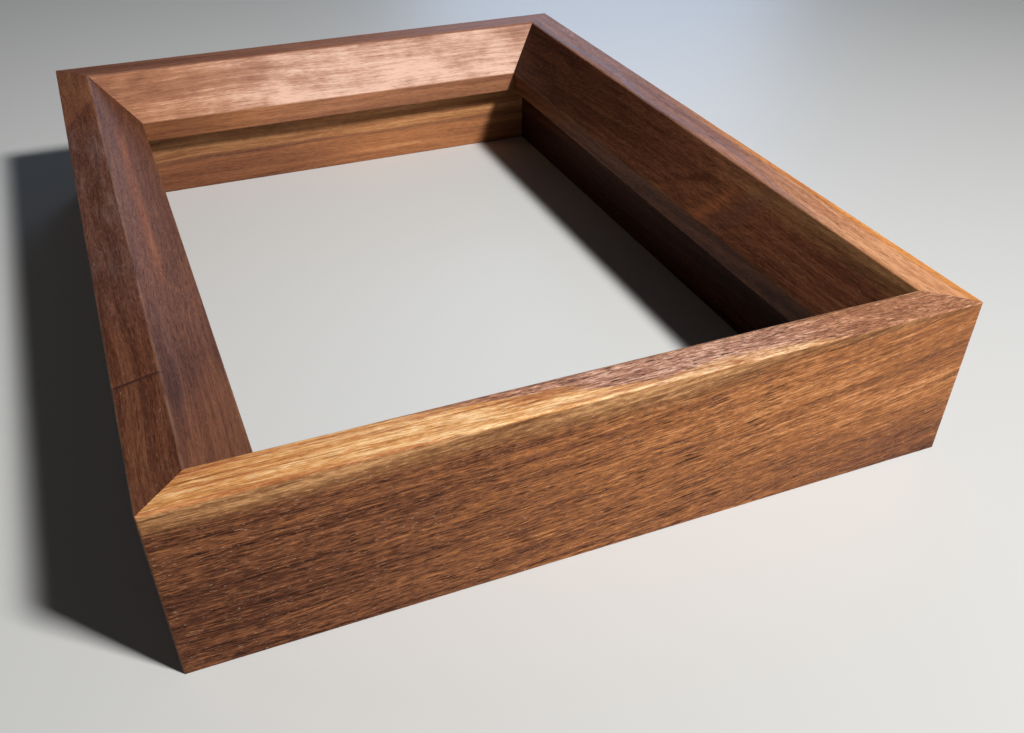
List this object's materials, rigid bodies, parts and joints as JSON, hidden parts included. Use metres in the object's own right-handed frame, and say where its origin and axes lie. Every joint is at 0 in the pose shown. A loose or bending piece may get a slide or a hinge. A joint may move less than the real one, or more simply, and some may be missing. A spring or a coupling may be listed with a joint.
{
  "type": "picture frame",
  "caption": "Deep rectangular hardwood picture frame with mitred corners, a flat band, an inward bevel and a rabbet at the back.",
  "frame": {"origin": "middle of the back, on the plane that the frame lies on", "axes": "+Z out of the front, +Y towards the top rail, +X towards the right rail as seen from the front"},
  "size_m": [0.16, 0.209, 0.0366],
  "materials": {
    "walnut_bottom": "satin oiled walnut with a pale sapwood edge",
    "walnut_right": "satin oiled walnut",
    "walnut_top": "satin oiled walnut",
    "walnut_left": "satin oiled dark walnut",
    "beech": "pressed beech, unfinished",
    "steel": "bright spring steel strip"
  },
  "bodies": {
    "root": {"bottom_rail": "walnut_bottom", "right_rail": "walnut_right", "top_rail": "walnut_top", "left_rail": "walnut_left", "mitre_key_bottom_left": "beech", "mitre_key_bottom_right": "beech", "mitre_key_top_right": "beech", "mitre_key_top_left": "beech", "v_nail_bottom_left_outer": "steel", "v_nail_bottom_left_inner": "steel", "v_nail_bottom_right_outer": "steel", "v_nail_bottom_right_inner": "steel", "v_nail_top_right_outer": "steel", "v_nail_top_right_inner": "steel", "v_nail_top_left_outer": "steel", "v_nail_top_left_inner": "steel"}
  },
  "joints": []
}
